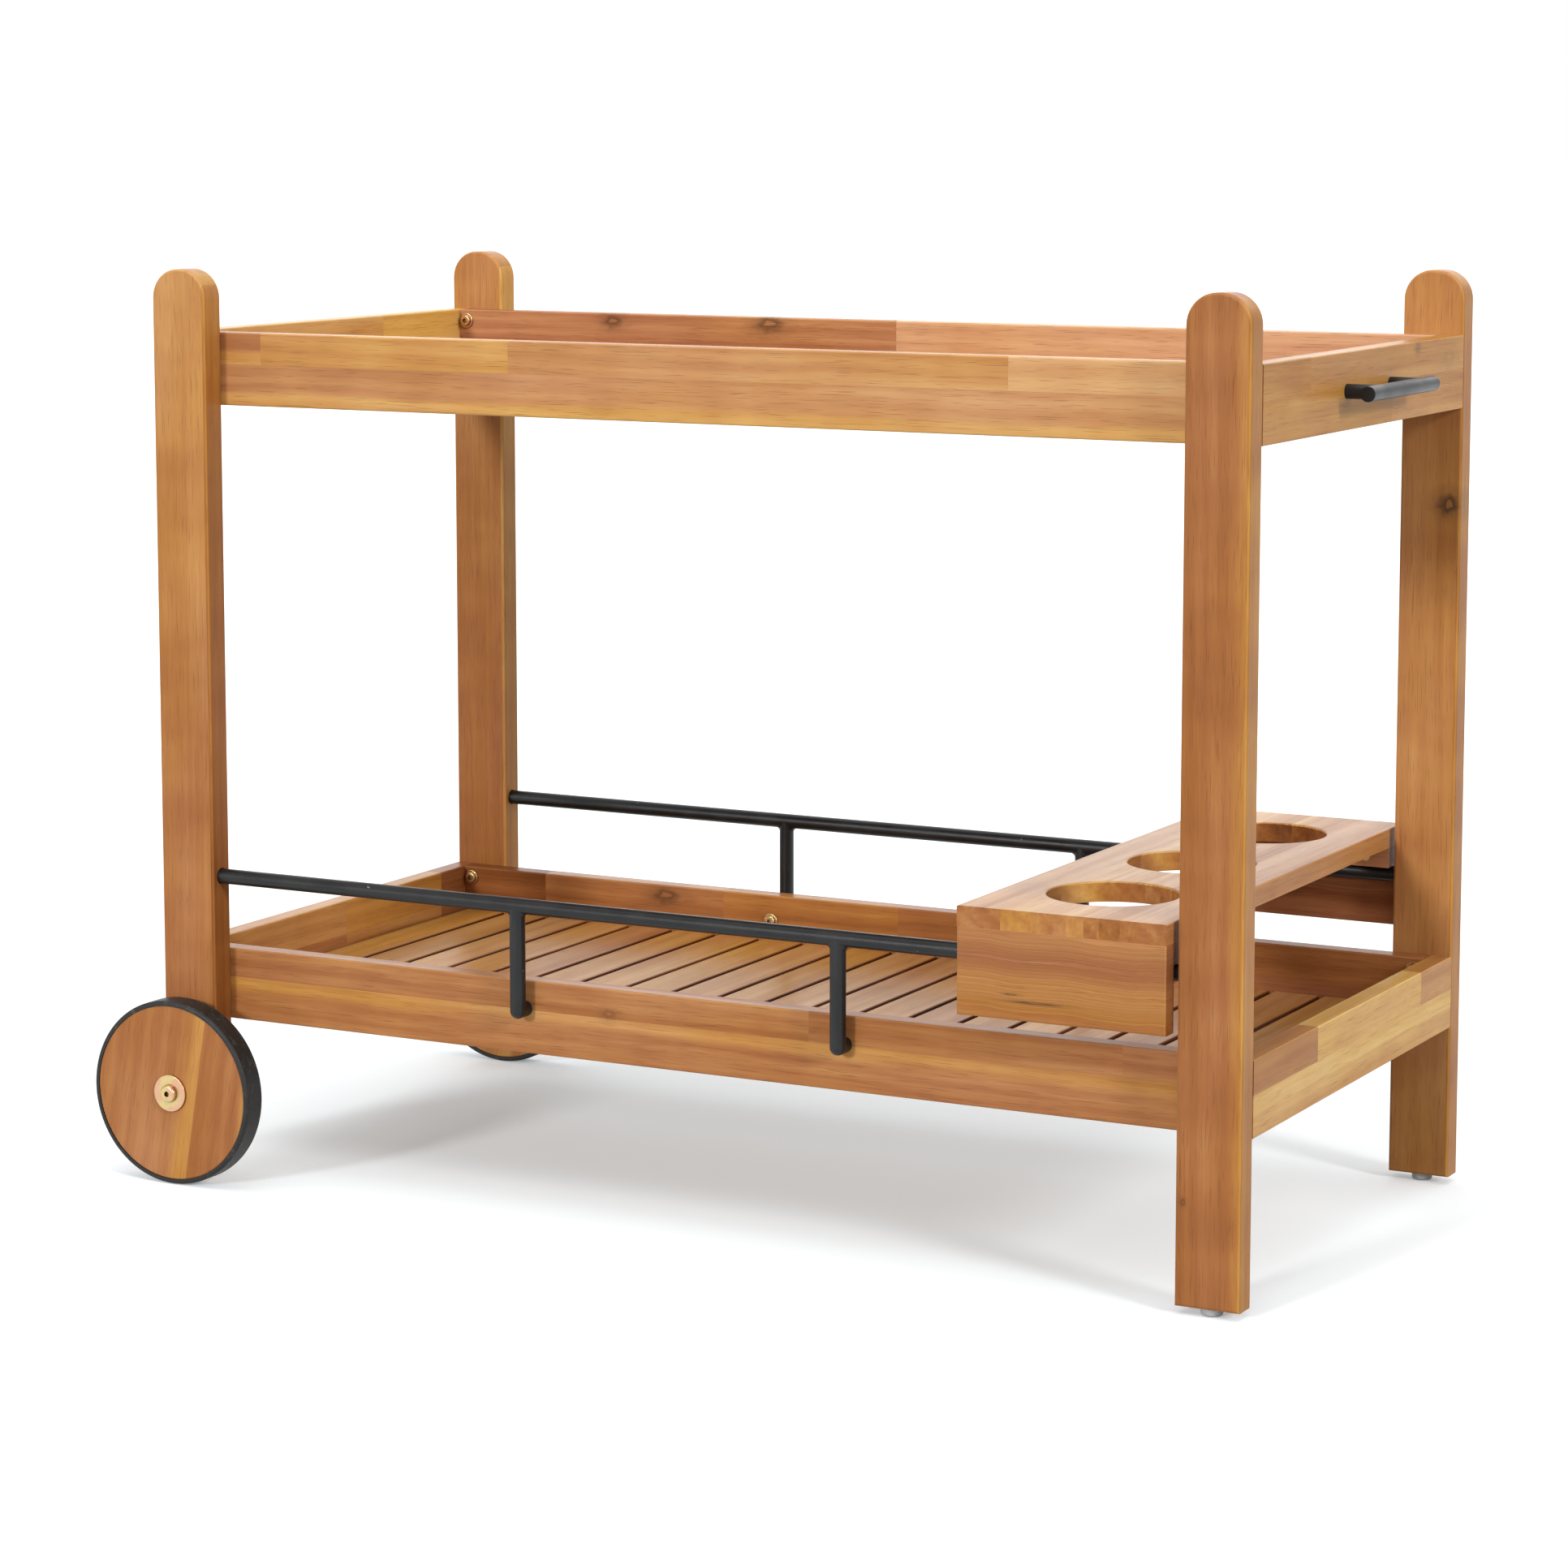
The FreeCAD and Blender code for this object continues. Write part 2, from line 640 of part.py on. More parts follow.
for side, side_name in FRONT_BACK.items():
    export("foot_glide_" + side_name, make_glide(side))
    export("wheel_disc_" + side_name, make_wheel_disc(side))
    export("tyre_" + side_name, make_tyre(side))
    export("wheel_bush_" + side_name, make_bush(side))
export("wheel_spacers", *[make_spacer(side) for side in FRONT_BACK])
export("axle_bolts", *[make_axle_bolt(side) for side in FRONT_BACK])
export("axle_washers", *[make_axle_washer(side) for side in FRONT_BACK])
export("axle_nuts", *[make_nut(side) for side in FRONT_BACK])
export("nut_washers", *[make_nut_washer(side) for side in FRONT_BACK])
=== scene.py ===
"""Looks of an outdoor serving cart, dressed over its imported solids. Lengths are in metres."""

import json
import math
import random

import bmesh
import bpy
from mathutils import Matrix, Vector


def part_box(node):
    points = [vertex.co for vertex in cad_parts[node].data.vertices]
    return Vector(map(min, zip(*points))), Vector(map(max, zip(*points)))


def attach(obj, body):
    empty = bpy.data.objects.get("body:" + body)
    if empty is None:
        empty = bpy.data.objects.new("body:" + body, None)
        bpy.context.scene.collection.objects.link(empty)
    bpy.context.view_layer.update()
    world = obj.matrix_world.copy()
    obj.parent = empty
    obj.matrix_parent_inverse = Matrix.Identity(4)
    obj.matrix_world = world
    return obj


# Camera, fitted to the straight edges of the posts and trays
camera_place = (1.6506, -3.1554, 0.8999)
camera_pitch = math.radians(82.73)
camera_yaw = math.radians(27.83)
camera_lens_mm = 99.42
camera_sensor_mm = 36.0
camera_shift_share = -0.0859
camera_far = 100.0

# Studio
floor_reach = 60.0
floor_drop = 0.0004
floor_seen_colour = (0.83, 0.875, 0.90, 1.0)
floor_bounce_colour = (0.35, 0.35, 0.35, 1.0)
floor_glow = 0.245
floor_roughness = 0.9
studio_white = (1.0, 1.0, 1.0, 1.0)
sky_strength = 0.72
suns = {
    "key_sun": dict(towards=(0.22, 1.0, -0.34), spread=math.radians(9.0), strength=1.65),
    "right_sun": dict(towards=(-1.0, 0.4, -0.5), spread=math.radians(11.0), strength=1.35),
    "top_sun": dict(towards=(0.05, 0.1, -1.0), spread=math.radians(45.0), strength=0.75),
    "back_sun": dict(towards=(0.3, -1.0, -0.18), spread=math.radians(50.0), strength=0.65),
}

# The sRGB curve, from shown values to linear light
srgb_full = 255.0
srgb_knee_share = 0.04045
srgb_slope = 12.92
srgb_offset = 0.055
srgb_power = 2.4

# Colours, written as the sRGB values that they show as
golden_tones = {
    0.00: (76, 38, 16),
    0.22: (125, 73, 32),
    0.42: (158, 101, 48),
    0.62: (187, 134, 63),
    0.82: (210, 166, 86),
    1.00: (226, 194, 122),
}
rosy_tones = {
    0.00: (80, 43, 27),
    0.22: (127, 75, 50),
    0.42: (158, 102, 74),
    0.62: (186, 134, 101),
    0.82: (207, 163, 126),
    1.00: (222, 190, 154),
}
acacia_pore = (84, 44, 20)
acacia_knot = (66, 45, 30)
charcoal_dark = (13, 13, 14)
charcoal_light = (24, 24, 25)
charcoal_chip = (120, 120, 118)
zinc_green = (184, 178, 122)
zinc_gold = (205, 180, 126)
zinc_rose = (204, 162, 130)
zinc_tints = {0.33: zinc_green, 0.43: zinc_gold, 0.54: zinc_rose}
# Painted shade: the dark colour that the zinc's recesses and seats are mixed towards
zinc_recess_shade = (58, 46, 30)
tyre_dark = (30, 29, 28)
tyre_scuffed = (84, 80, 77)
plastic_grey = (150, 150, 149)
plastic_pale = (176, 176, 174)
nylon_white = (222, 219, 208)
nylon_cream = (204, 199, 184)
dowel_pale = (218, 184, 134)
dowel_dark = (190, 150, 100)

# Noise values run from 0 to 1 about this middle, and are layered like this where nothing else is said
noise_middle = 0.5
plain_noise_detail = 2.0
plain_noise_roughness = 0.5

# Grain, in repeats per metre along, across and through the board
wander_scales = (2.2, 9.0, 9.0)
streak_scales = (1.1, 34.0, 34.0)
fine_scales = (7.0, 240.0, 240.0)
pore_scales = (34.0, 1500.0, 1500.0)
figure_scales = (17.0, 9.0, 9.0)
blotch_scales = (3.4, 16.0, 16.0)
row_wander_scales = (9.0, 0.0, 0.0)
sap_wobble_scales = (5.0, 0.0, 0.0)
streak_noise = dict(detail=3.0, roughness=0.6)
fine_noise = dict(detail=2.0, roughness=0.6)
pore_noise = dict(detail=1.0)
pore_range = (0.60, 0.74)
pore_strength = 0.30
pore_depth = 0.00012
fine_height_share = 0.6
ring_wave = {"Scale": 26.0, "Distortion": 2.5, "Detail": 2.0, "Detail Scale": 0.4}
ring_heart = (0.0, 0.055, 0.035)
ring_lean = 0.035
wander_reach = 0.012
seed_step = (3.7, 1.9, 2.3)
grain_seed = 20
blotch_strength = 0.20
blotch_rose = 1.2
grain_strengths = {
    "post": dict(Streak=0.16, Figure=0.26, Ring=0.03, Fine=0.14),
    "wheel_disc": dict(Streak=0.12, Figure=0.16, Ring=0.05, Fine=0.13),
    "rack_panel": dict(Streak=0.42, Figure=0.18, Ring=0.06, Fine=0.16),
    "upper_rail_back": dict(Streak=0.50, Figure=0.12, Ring=0.05, Fine=0.30),
    "upper_rail_front": dict(Streak=0.32, Figure=0.20, Ring=0.05, Fine=0.13),
    "rack_board": dict(Streak=0.50, Figure=0.12, Ring=0.05, Fine=0.24),
}
plain_grain_strengths = dict(Streak=0.40, Figure=0.16, Ring=0.05, Fine=0.20)

# Axes that the grain runs along, where that isn't the cart's length
grain_axes = {
    "post": 2, "wheel_disc": 2, "upper_end": 1, "lower_end": 1, "upper_slats": 1, "lower_slats": 1,
    "rack_board": 1,
}
disc_lean = math.radians(9.5)

# Oil on the wood
oil_ior = 1.14
oil_sheen_shares = {"rack_board": 0.18, "upper_slats": 0.20, "lower_slats": 0.20}
plain_oil_sheen_share = 0.12
oil_roughness = 0.28
wood_streak_range = (0.2, 0.8)
wood_roughness = (0.42, 0.28)

# Shifts of tone, and how far a face looks along an axis where each starts and where it is full
# Paler rounded edges and crowns: partly worn oil, partly a painted highlight
edge_wear_and_highlight_shift = 0.10
arris_facing_shares = (0.96, 0.80)
end_grain_shift = -0.12
end_facing_shares = (0.6, 0.9)
# Painted shade on the slats' sides, in the gaps between them
slat_side_shade_shift = -0.62
# Darker hole walls: end grain, and painted shade that deepens further along the board
bore_grain_and_shade_shifts = (-0.06, -0.30)
bore_facing_shares = (0.5, 0.2)
bore_reach_share = 0.48
board_middle_share = 0.5

# Boards that get paler along their grain, level at this share of their length
tone_slopes = {"post_front_left": 0.28, "post_back_left": 0.22, "upper_rail_front": 0.16}
slope_level_share = 0.65

# Staves: rows across a board from low to high, each a start across, then staves that start along it.
# A stave is (start, tone, sap, rose): sap below zero is pale sapwood on its low edge, above zero on its
# high edge, and rose runs from golden to rosy wood.
stave_row_shares = {
    "upper_rail_front": [
        (0.00, [(0.0, 0.60, -0.30, 0.6), (0.97, 0.60, 0.0, 0.6)]),
        (0.565, [(0.0, 0.585, -0.40, 0.6), (0.076, 0.69, 0.0, 0.3), (0.329, 0.63, 0.0, 0.55),
                 (0.798, 0.65, 0.0, 0.6)]),
    ],
    "lower_rail_front": [
        (0.00, [(0.0, 0.46, 0.30, 0.4)]),
        (0.60, [(0.0, 0.44, 0.0, 0.4), (0.619, 0.47, 0.0, 0.5), (0.9025, 0.43, 0.0, 0.5)]),
    ],
    "upper_rail_back": [
        (0.00, [(0.0, 0.485, 0.0, 0.65), (0.60, 0.66, 0.0, 0.8)]),
        (0.46, [(0.0, 0.485, 0.0, 0.65), (0.473, 0.69, 0.0, 0.9), (0.82, 0.67, 0.0, 0.9)]),
    ],
    "lower_rail_back": [
        (0.00, [(0.0, 0.33, 0.0, 0.3), (0.29, 0.42, 0.0, 0.3), (0.62, 0.35, 0.0, 0.4)]),
        (0.52, [(0.0, 0.22, 0.0, 0.3), (0.091, 0.43, 0.0, 0.4), (0.29, 0.46, 0.0, 0.2),
                (0.48, 0.37, 0.0, 0.4), (0.8, 0.38, 0.0, 0.3)]),
    ],
    "upper_end_left": [
        (0.00, [(0.0, 0.62, 0.0, 0.2), (0.67, 0.72, 0.0, 0.1)]),
        (0.50, [(0.0, 0.69, 0.0, 0.2), (0.67, 0.82, 0.0, 0.1)]),
    ],
    "lower_end_left": [
        (0.00, [(0.0, 0.46, 0.0, 0.3), (0.51, 0.42, 0.3, 0.2), (0.864, 0.32, 0.0, 0.3)]),
        (0.50, [(0.0, 0.56, 0.0, 0.2), (0.51, 0.54, 0.0, 0.1), (0.864, 0.35, 0.0, 0.4)]),
    ],
    "upper_end_right": [
        (0.00, [(0.0, 0.62, 0.0, 0.0), (0.62, 0.58, 0.0, 0.1)]),
        (0.55, [(0.0, 0.54, 0.0, 0.0), (0.216, 0.58, 0.0, 0.1)]),
    ],
    "lower_end_right": [
        (0.00, [(0.0, 0.66, 0.45, 0.0)]),
        (0.55, [(0.0, 0.50, 0.0, 0.15), (0.30, 0.78, 0.0, 0.0), (0.83, 0.54, 0.0, 0.2)]),
    ],
    "rack_panel_front": [
        (0.00, [(0.0, 0.47, 0.0, 0.1)]),
        (0.24, [(0.0, 0.535, 0.0, 0.3)]),
        (0.54, [(0.0, 0.40, 0.0, 0.5)]),
        (0.82, [(0.0, 0.53, 0.0, 0.5)]),
    ],
    "rack_panel_back": [(0.00, [(0.0, 0.35, 0.0, 0.6)]), (0.50, [(0.0, 0.39, 0.0, 0.6)])],
    "wheel_disc_front": [(0.00, [(0.0, 0.465, 0.155, 0.45)]), (0.67, [(0.0, 0.42, 0.12, 0.3)])],
    "wheel_disc_back": [(0.00, [(0.0, 0.50, 0.0, 0.3)]), (0.55, [(0.0, 0.44, -0.2, 0.2)])],
    "post_front_left": [(0.0, [(0.0, 0.51, 0.0, 0.2)]), (0.95, [(0.0, 0.41, 0.0, 0.1)])],
    "post_back_left": [(0.0, [(0.0, 0.45, 0.0, 0.3)]), (0.95, [(0.0, 0.60, 0.0, 0.1)])],
    "post_front_right": [(0.0, [(0.0, 0.38, 0.14, 0.3)]), (0.95, [(0.0, 0.51, 0.0, 0.0)])],
    "post_back_right": [(0.0, [(0.0, 0.53, 0.0, 0.3)]), (0.95, [(0.0, 0.48, 0.0, 0.0)])],
}
plain_tone_range = (0.40, 0.56)
row_edge_shares = {"rack_panel": 0.28}
plain_row_edge_share = 0.008
row_wander_shares = {"rack_panel": 0.22}

# Strips that lie side by side across a board: start and tone
strip_shares = {
    "rack_board": [
        (0.00, 0.55), (0.21, 0.67), (0.365, 0.61), (0.527, 0.64), (0.608, 0.56), (0.68, 0.53), (0.78, 0.52),
    ],
}
strip_rose = 0.2
slats_per_tray = 21
slat_tone_range = (0.53, 0.71)
slat_rose_range = (0.0, 0.5)

# Sapwood along the edge of a stave
sapwood_shift = 0.13
sapwood_rose_share = 0.5
sapwood_edge_shares = {"post": 0.30, "lower_rail_front": 0.30, "upper_rail_front": 0.20, "wheel_disc": 0.14}
plain_sapwood_edge_share = 0.08
sap_wobble_share = 0.3
least_sap_share = 0.02

# Knots: place along and across the board, radius across, stretch along the grain, and how dark it is
knot_shares = {
    "upper_rail_back": [(0.173, 0.88, 0.11, 1.8, 0.8), (0.343, 0.90, 0.14, 2.0, 0.8)],
    "lower_rail_front": [(0.428, 0.66, 0.09, 1.5, 0.45)],
    "lower_rail_back": [(0.229, 0.84, 0.14, 2.0, 0.8)],
    "upper_end_right": [(0.92, 0.72, 0.14, 2.2, 0.25), (0.75, 0.92, 0.08, 1.4, 0.6)],
    "post_back_right": [(0.7466, 0.80, 0.20, 1.0, 1.0)],
    "post_front_right": [(0.106, 0.12, 0.05, 1.4, 0.7)],
    "rack_panel_front": [(0.262, 0.29, 0.014, 7.0, 0.8), (0.382, 0.215, 0.017, 22.0, 0.9)],
}
# How dark a knot is from its middle to its reach: a pale core, a dark ring and a fading halo
knot_depth_shares = {0.0: 0.30, 0.10: 0.34, 0.20: 0.92, 0.34: 0.62, 0.52: 0.24, 0.95: 0.0}
# A knot's reach and raggedness in its radii, and its noise in repeats per radius
knot_reach = 2.0
knot_raggedness = 1.1
knot_noise_scales = (1.4, 1.4, 0.0)
knot_noise = dict(detail=4.0)

# Metal, rubber and plastic: noises in repeats per metre, what range of them shows, and what it gives
coat_cloud_scales = (30.0, 30.0, 30.0)
coat_cloud_noise = dict(detail=3.0)
coat_cloud_range = (0.3, 0.7)
coat_roughness = (0.30, 0.42)
coat_chip_scales = (260.0, 260.0, 260.0)
coat_chip_noise = dict(detail=1.0)
coat_chip_range = (0.80, 0.83)
coat_specular = 0.34
coat_peel_scales = (900.0, 900.0, 900.0)
coat_peel_depth = 0.00012
zinc_cloud_scales = (70.0, 70.0, 70.0)
# Painted shade in the zinc's recesses: how far it looks for nearby surfaces, with how many samples, and how
# open a place is where the shade starts and ends
zinc_shade_reach = 0.004
zinc_shade_samples = 8
zinc_open_shares = (0.30, 0.80)
zinc_scratch_scales = (400.0, 400.0, 2400.0)
zinc_scratch_range = (0.2, 0.8)
zinc_roughness = (0.22, 0.38)
zinc_scratch_depth = 0.00003
tyre_scuff_scales = (110.0, 260.0, 110.0)
tyre_scuff_noise = dict(detail=5.0, roughness=0.7)
tyre_scuff_range = (0.52, 0.80)
tyre_rough_range = (0.3, 0.8)
tyre_roughness = (0.42, 0.62)
tyre_specular = 0.3
tyre_skin_scales = (700.0, 700.0, 700.0)
tyre_skin_noise = dict(detail=3.0)
tyre_skin_depth = 0.00012
moulded_cloud_scales = (120.0, 120.0, 120.0)
moulded_cloud_noise = dict(detail=3.0)
moulded_cloud_range = (0.2, 0.8)
moulded_roughness_spread = 0.12
moulded_skin_scales = (900.0, 900.0, 900.0)
moulded_skin_depth = 0.00005
plastic_roughness = 0.42
nylon_roughness = 0.40
dowel_roughness = 0.60

# Welds where the guard rails' legs meet their bars
weld_reach_share = 0.6
weld_ripple_share = 0.07
weld_sink = 0.0004
weld_half_turn = math.radians(84.0)
weld_rings = 25
weld_arc_steps = 6
weld_seed = 4

# Pan-head screws up through the ledgers and battens into the slats; the profile is radius and height
slat_gap = 0.0044
screw_profile = (
    (0.0036, 0.0004), (0.0036, -0.0006), (0.0033, -0.0011), (0.0027, -0.0014), (0.0021, -0.0015),
)
screw_cross_arms = 4
screw_cross_reach = 0.0016
screw_cross_half = 0.00036
screw_cross_depth = 0.0012
screw_turn_steps = 24
screw_seed = 7

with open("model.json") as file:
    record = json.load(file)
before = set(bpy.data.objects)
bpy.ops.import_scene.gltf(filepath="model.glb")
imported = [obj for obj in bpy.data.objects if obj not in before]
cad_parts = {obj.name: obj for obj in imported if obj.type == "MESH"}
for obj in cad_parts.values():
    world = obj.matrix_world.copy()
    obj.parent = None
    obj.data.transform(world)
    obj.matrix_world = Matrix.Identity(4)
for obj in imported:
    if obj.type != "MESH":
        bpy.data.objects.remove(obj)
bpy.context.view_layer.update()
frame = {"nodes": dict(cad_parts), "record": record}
nodes = frame["nodes"]


# Node helpers

def linear_share(share):
    """A shown share of full brightness as linear light."""
    if share <= srgb_knee_share:
        return share / srgb_slope
    return ((share + srgb_offset) / (1.0 + srgb_offset)) ** srgb_power


def linear(colour):
    """sRGB values of 0 to 255 as a linear RGBA colour."""
    return tuple(linear_share(value / srgb_full) for value in colour) + (1.0,)


def feed(tree, node, inputs):
    """Link or set a node's inputs, by name or number."""
    for key, value in inputs.items():
        if isinstance(value, bpy.types.NodeSocket):
            tree.links.new(value, node.inputs[key])
        else:
            node.inputs[key].default_value = value


def add(tree, kind, inputs=None, **settings):
    """Add a shader node with its settings and inputs."""
    node = tree.nodes.new("ShaderNode" + kind)
    for key, value in settings.items():
        setattr(node, key, value)
    feed(tree, node, inputs or {})
    return node


def calc(tree, operation, first, second=0.0, third=0.0):
    """A Math node's result."""
    return add(tree, "Math", {0: first, 1: second, 2: third}, operation=operation).outputs[0]


def moved(tree, vector, step):
    """A vector plus another."""
    return add(tree, "VectorMath", {0: vector, 1: step}, operation="ADD").outputs[0]


def scaled(tree, vector, scales):
    """A vector times three scales."""
    return add(tree, "VectorMath", {0: vector, 1: scales}, operation="MULTIPLY").outputs[0]


def noise(tree, place, scales, detail=plain_noise_detail, roughness=plain_noise_roughness):
    """A noise value of 0 to 1 at a place, with this many repeats each way."""
    values = {"Vector": scaled(tree, place, scales), "Scale": 1.0, "Detail": detail, "Roughness": roughness}
    return add(tree, "TexNoise", values).outputs["Fac"]


def remapped(tree, value, low, high, to_low=0.0, to_high=1.0):
    """A value eased from one range to another, and held at its ends."""
    values = {"Value": value, "From Min": low, "From Max": high, "To Min": to_low, "To Max": to_high}
    return add(tree, "MapRange", values, interpolation_type="SMOOTHSTEP").outputs["Result"]


def ramp(tree, value, stops, interpolation="LINEAR"):
    """A colour ramp's outputs, with stops of place and linear RGBA colour."""
    node = add(tree, "ValToRGB", {"Fac": value})
    node.color_ramp.interpolation = interpolation
    elements = node.color_ramp.elements
    while len(elements) < len(stops):
        elements.new(1.0)
    while len(elements) > len(stops):
        elements.remove(elements[-1])
    for element, (place, colour) in zip(elements, stops):
        element.position = place
        element.color = colour
    return node.outputs


def tinted(tree, value, tones):
    """The colour that a table of shown colours has at a value."""
    return ramp(tree, value, [(start, linear(colour)) for start, colour in tones.items()])["Color"]


def blended(tree, factor, first, second):
    """Two values mixed by a factor."""
    return add(tree, "Mix", {0: factor, 2: first, 3: second}).outputs[0]


def mixed(tree, factor, first, second):
    """Two colours mixed by a factor."""
    return add(tree, "Mix", {0: factor, 6: first, 7: second}, data_type="RGBA").outputs[2]


def finished(name, build):
    """A material whose Principled shader is fed by a function of its tree and shader."""
    material = bpy.data.materials.new(name)
    material.use_nodes = True
    build(material.node_tree, material.node_tree.nodes["Principled BSDF"])
    return material


def object_place(tree):
    """The place on the piece itself, in metres."""
    return add(tree, "TexCoord").outputs["Object"]


def raise_surface(tree, shader, height, distance):
    """Feed a height to the shader as bump."""
    bump = add(tree, "Bump", {"Height": height, "Distance": distance, "Strength": 1.0})
    feed(tree, shader, {"Normal": bump.outputs["Normal"]})


def named_kind(values, name, plain):
    """The value of the kind that a name starts with, or the plain one."""
    return next((value for start, value in values.items() if name.startswith(start)), plain)


# Acacia

def wandering_place(tree, given):
    """A stave's place, shifted by its seed and led a little astray along the grain."""
    shifted = {0: given["Seed"], 1: seed_step, 2: given["Place"]}
    place = add(tree, "VectorMath", shifted, operation="MULTIPLY_ADD").outputs[0]
    wander = calc(tree, "MULTIPLY", noise(tree, place, wander_scales), wander_reach)
    return moved(tree, place, add(tree, "CombineXYZ", {"Y": wander, "Z": wander}).outputs[0])


def growth_rings(tree, place):
    """Rings round a heart that lies beside the board and leans a little."""
    leaned = {"Vector": moved(tree, place, ring_heart), "Rotation": (0.0, ring_lean, ring_lean)}
    values = {"Vector": add(tree, "Mapping", leaned).outputs[0], **ring_wave}
    return add(tree, "TexWave", values, wave_type="RINGS", rings_direction="X").outputs["Fac"]


def acacia_group():
    """The grain of a stave: colour, roughness and height from its place, tone, seed and strengths."""
    tree = bpy.data.node_groups.new("acacia_grain", "ShaderNodeTree")
    tree.interface.new_socket("Place", in_out="INPUT", socket_type="NodeSocketVector")
    for name in ("Tone", "Seed", "Rose", "Streak", "Figure", "Ring", "Fine"):
        tree.interface.new_socket(name, in_out="INPUT", socket_type="NodeSocketFloat")
    for name, kind in (("Color", "Color"), ("Roughness", "Float"), ("Height", "Float")):
        tree.interface.new_socket(name, in_out="OUTPUT", socket_type="NodeSocket" + kind)
    given = tree.nodes.new("NodeGroupInput").outputs
    place = wandering_place(tree, given)
    streak = noise(tree, place, streak_scales, **streak_noise)
    fine = noise(tree, place, fine_scales, **fine_noise)
    figure = noise(tree, place, figure_scales)
    blotch = noise(tree, place, blotch_scales)
    pores = remapped(tree, noise(tree, place, pore_scales, **pore_noise), *pore_range)
    ring = growth_rings(tree, place)

    tone = given["Tone"]
    varied = {"Streak": streak, "Figure": figure, "Ring": ring, "Fine": fine}
    strengths = [(value, given[name]) for name, value in varied.items()] + [(blotch, blotch_strength)]
    for value, strength in strengths:
        tone = calc(tree, "MULTIPLY_ADD", calc(tree, "SUBTRACT", value, noise_middle), strength, tone)
    flush = calc(tree, "SUBTRACT", blotch, noise_middle)
    flush = calc(tree, "MULTIPLY_ADD", flush, blotch_rose, given["Rose"])
    colour = mixed(tree, flush, tinted(tree, tone, golden_tones), tinted(tree, tone, rosy_tones))
    colour = mixed(tree, calc(tree, "MULTIPLY", pores, pore_strength), colour, linear(acacia_pore))
    feed(tree, tree.nodes.new("NodeGroupOutput"), {
        "Color": colour,
        "Roughness": remapped(tree, streak, *wood_streak_range, *wood_roughness),
        "Height": calc(tree, "MULTIPLY_ADD", fine, fine_height_share, calc(tree, "MULTIPLY", pores, -1.0)),
    })
    return tree


def board_axes(name):
    """Axes along the grain, across the board's wide way and through it."""
    along = named_kind(grain_axes, name, 0)
    low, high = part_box(name)
    others = [axis for axis in range(3) if axis != along]
    across, through = sorted(others, key=lambda axis: low[axis] - high[axis])
    return along, across, through


def board_place(tree, name):
    """Place on a board in metres along, across and through it, and the shares along and across."""
    along, across, through = board_axes(name)
    low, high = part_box(name)
    place = object_place(tree)
    if name.startswith("wheel_disc"):
        middle = (low + high) / 2
        turn = {"Vector": place, "Location": middle, "Rotation": (0.0, disc_lean, 0.0)}
        place = add(tree, "Mapping", turn, vector_type="TEXTURE").outputs[0]
        low, high = low - middle, high - middle
    parts = add(tree, "SeparateXYZ", {0: place}).outputs
    ordered = add(tree, "CombineXYZ", {0: parts[along], 1: parts[across], 2: parts[through]}).outputs[0]
    shares = [calc(tree, "DIVIDE", calc(tree, "SUBTRACT", parts[axis], low[axis]), high[axis] - low[axis])
              for axis in (along, across)]
    return ordered, shares[0], shares[1]


def stave_stops(staves, draw):
    """Ramp stops that hold each stave's tone, seed, sapwood and rose."""
    return [(start, (tone, draw.random(), 0.5 + sap / 2, rose)) for start, tone, sap, rose in staves]


def row_values(tree, name, place_share, staves, row_share, wobble, draw):
    """Tone, seed and rose of a row of staves, with pale sapwood along an edge."""
    looked_up = ramp(tree, place_share, stave_stops(staves, draw), "CONSTANT")
    tone, seed, sap = add(tree, "SeparateColor", {0: looked_up["Color"]}).outputs
    sap = calc(tree, "MULTIPLY_ADD", sap, 2.0, -1.0)
    place = calc(tree, "ADD", row_share, wobble)
    from_low = calc(tree, "SUBTRACT", calc(tree, "MULTIPLY", sap, -1.0), place)
    from_high = calc(tree, "SUBTRACT", calc(tree, "ADD", place, sap), 1.0)
    edge = named_kind(sapwood_edge_shares, name, plain_sapwood_edge_share)
    sapwood = remapped(tree, calc(tree, "MAXIMUM", from_low, from_high), -edge / 2, edge / 2)
    has_sap = calc(tree, "GREATER_THAN", calc(tree, "ABSOLUTE", sap), least_sap_share)
    sapwood = calc(tree, "MULTIPLY", sapwood, has_sap)
    rosiness = calc(tree, "MULTIPLY_ADD", sapwood, sapwood_rose_share - 1.0, 1.0)
    rose = calc(tree, "MULTIPLY", looked_up["Alpha"], rosiness)
    return calc(tree, "MULTIPLY_ADD", sapwood, sapwood_shift, tone), seed, rose


def plain_rows(draw):
    """A single stave, for a board that has no rows of its own."""
    tone = draw.uniform(*plain_tone_range)
    return [(0.0, [(0.0, tone, 0.0, draw.random())])]


def side_by_side(name, draw):
    """Staves that follow each other across a board or a floor of slats, or none."""
    if name in strip_shares:
        return [(start, tone, 0.0, strip_rose) for start, tone in strip_shares[name]]
    staves = []
    for index in range(slats_per_tray if name.endswith("slats") else 0):
        tone = draw.uniform(*slat_tone_range)
        staves.append((index / slats_per_tray, tone, 0.0, draw.uniform(*slat_rose_range)))
    return staves


